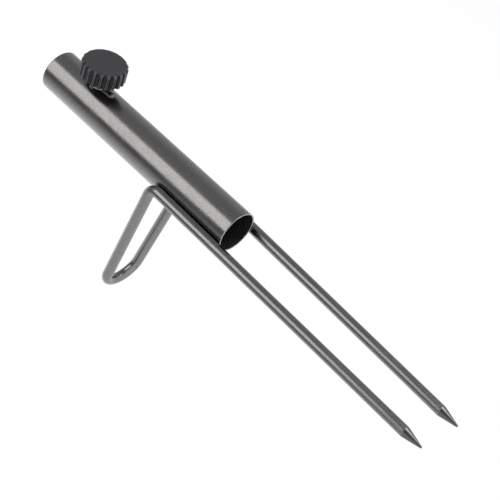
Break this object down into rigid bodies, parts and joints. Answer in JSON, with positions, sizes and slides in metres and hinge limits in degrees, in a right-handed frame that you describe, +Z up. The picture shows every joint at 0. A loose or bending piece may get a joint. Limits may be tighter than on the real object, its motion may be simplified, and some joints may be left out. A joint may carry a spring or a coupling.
{
  "type": "ground spike umbrella holder",
  "caption": "Steel pole socket with a bent, two-pronged ground spike and foot loop, and a fluted clamp knob on a threaded stud.",
  "frame": {"origin": "centre of the tube's lower rim, at ground level when the prongs are in the ground", "axes": "+Z up along the tube, out of the mouth that takes the pole; -Y the front, towards the knob; +Y the back, towards the foot loop; +X to the right seen from the front"},
  "size_m": [0.0478, 0.1625, 0.3898],
  "materials": {
    "plated_steel": "semi-gloss black nickel plate",
    "weld_metal": "plated weld bead",
    "stud_steel": "bright zinc plate",
    "knob_plastic": "satin black moulding"
  },
  "bodies": {
    "frame": {"socket_tube": "plated_steel", "spike_fork": "plated_steel", "clamp_nut": "plated_steel", "nut_weld_left": "weld_metal", "nut_weld_right": "weld_metal", "nut_weld_low": "weld_metal", "nut_weld_high": "weld_metal", "rod_weld_left_low": "weld_metal", "rod_weld_left_high": "weld_metal", "rod_weld_right_low": "weld_metal", "rod_weld_right_high": "weld_metal"},
    "screw": {"clamp_stud": "stud_steel"},
    "knob": {"clamp_knob": "knob_plastic"}
  },
  "joints": [
    {"name": "stud_slide", "type": "slide", "parent": "frame", "child": "screw", "axis": [0, 1, 0], "range_m": [-0.0097, 0.0022]},
    {"name": "knob_turn", "type": "hinge", "parent": "screw", "child": "knob", "pos_m": [0, 0, 0.1524], "axis": [0, 1, 0], "range_deg": [-2793.6, 633.6]}
  ],
  "couplings": [
    {"joint": "stud_slide", "follows": "knob_turn", "m_per_rad": 0.00019894}
  ]
}
